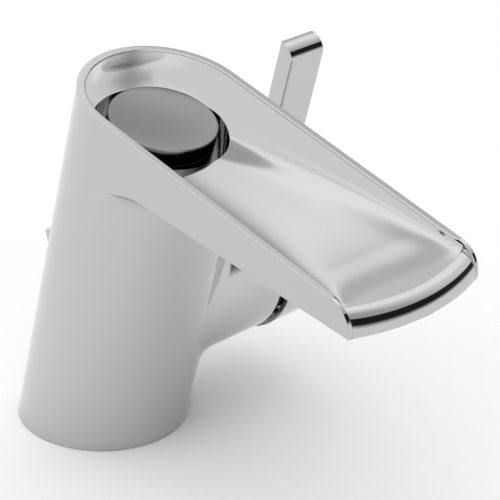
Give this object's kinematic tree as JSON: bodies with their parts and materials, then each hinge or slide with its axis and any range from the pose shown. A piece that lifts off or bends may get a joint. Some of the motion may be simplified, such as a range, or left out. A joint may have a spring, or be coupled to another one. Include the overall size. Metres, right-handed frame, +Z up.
{
  "type": "waterfall basin faucet",
  "caption": "Single-lever basin mixer with a forward-leaning round column, an open trough spout with a rolled lip, a side hub with a flat lever and a lift rod behind.",
  "frame": {"origin": "middle of the round foot, on the deck face", "axes": "+Z up, the spout points along -Y, the side hub and lever stand on +X"},
  "size_m": [0.0855, 0.1516, 0.1167],
  "materials": {
    "chrome": "polished plating",
    "raw_brass": "machined",
    "steel": "machined",
    "seal_rubber": "matt",
    "dark_ring": "glossy black",
    "cartridge_plastic": "moulded",
    "ceramic": "lapped"
  },
  "bodies": {
    "casting": {"body_casting": "chrome", "outlet_cover": "chrome", "cover_o_ring": "seal_rubber", "spreader": "chrome", "cartridge_housing": "cartridge_plastic", "cartridge_base": "cartridge_plastic", "port_seals": "seal_rubber", "fixed_disc": "ceramic", "retaining_nut": "raw_brass", "slide_ring": "dark_ring", "deck_gasket": "seal_rubber", "rod_guide_bush": "cartridge_plastic"},
    "swivel": {"stem_carrier": "cartridge_plastic", "stem_pin": "steel"},
    "carriage": {"disc_driver": "cartridge_plastic", "moving_disc": "ceramic"},
    "handle": {"stem": "raw_brass", "handle_cap": "chrome", "lever": "chrome", "lever_screw": "steel", "grub_screw": "steel", "screw_plug": "dark_ring"},
    "rod": {"lift_rod": "chrome", "rod_knob": "chrome"}
  },
  "joints": [
    {"name": "handle_swivel", "type": "hinge", "parent": "casting", "child": "swivel", "pos_m": [0.032, -0.01191, 0.04267], "axis": [1, 0, 0], "range_deg": [-45, 45]},
    {"name": "handle_tilt", "type": "hinge", "parent": "swivel", "child": "handle", "pos_m": [0.032, -0.01191, 0.04267], "axis": [0, 0.9632, 0.2689], "range_deg": [0, 16]},
    {"name": "disc_slide", "type": "slide", "parent": "swivel", "child": "carriage", "axis": [0, -0.2689, 0.9632], "range_m": [0, 0.002]},
    {"name": "rod_lift", "type": "slide", "parent": "casting", "child": "rod", "axis": [0, 0.2672, 0.9636], "range_m": [0, 0.012]}
  ],
  "couplings": [
    {"joint": "disc_slide", "follows": "handle_tilt", "m_per_rad": 0.007}
  ]
}
